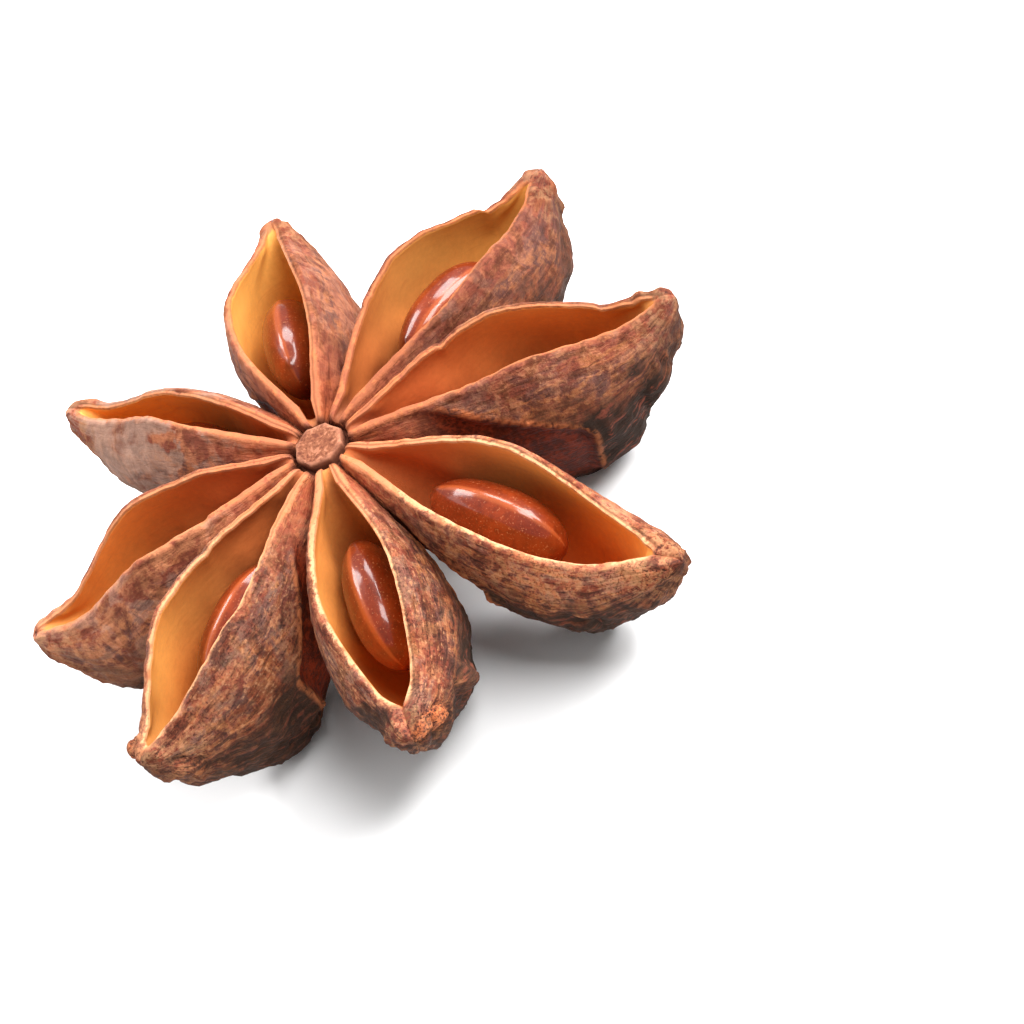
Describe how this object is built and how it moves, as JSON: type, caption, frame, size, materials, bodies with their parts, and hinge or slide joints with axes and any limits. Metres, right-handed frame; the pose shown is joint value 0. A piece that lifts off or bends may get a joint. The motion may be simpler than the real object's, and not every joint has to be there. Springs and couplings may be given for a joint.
{
  "type": "star anise",
  "caption": "Dried star-shaped spice fruit of woody, boat-shaped follicles round a short column, split open along the top, with a glossy seed in each.",
  "frame": {"origin": "middle of the fruit's box, on the surface that it lies on", "axes": "+Z along the fruit's axis, towards the open slits; -Y towards the viewer of the picture"},
  "size_m": [0.0348, 0.0356, 0.0108],
  "materials": {
    "husk": "rough, wrinkled reddish brown outside, smooth golden orange inside",
    "seed": "hard, glossy red-brown seed coat"
  },
  "bodies": {
    "root": {"husk": "husk", "seed_1": "seed", "seed_2": "seed", "seed_3": "seed", "seed_4": "seed", "seed_5": "seed", "seed_6": "seed", "seed_7": "seed", "seed_8": "seed"}
  },
  "joints": []
}
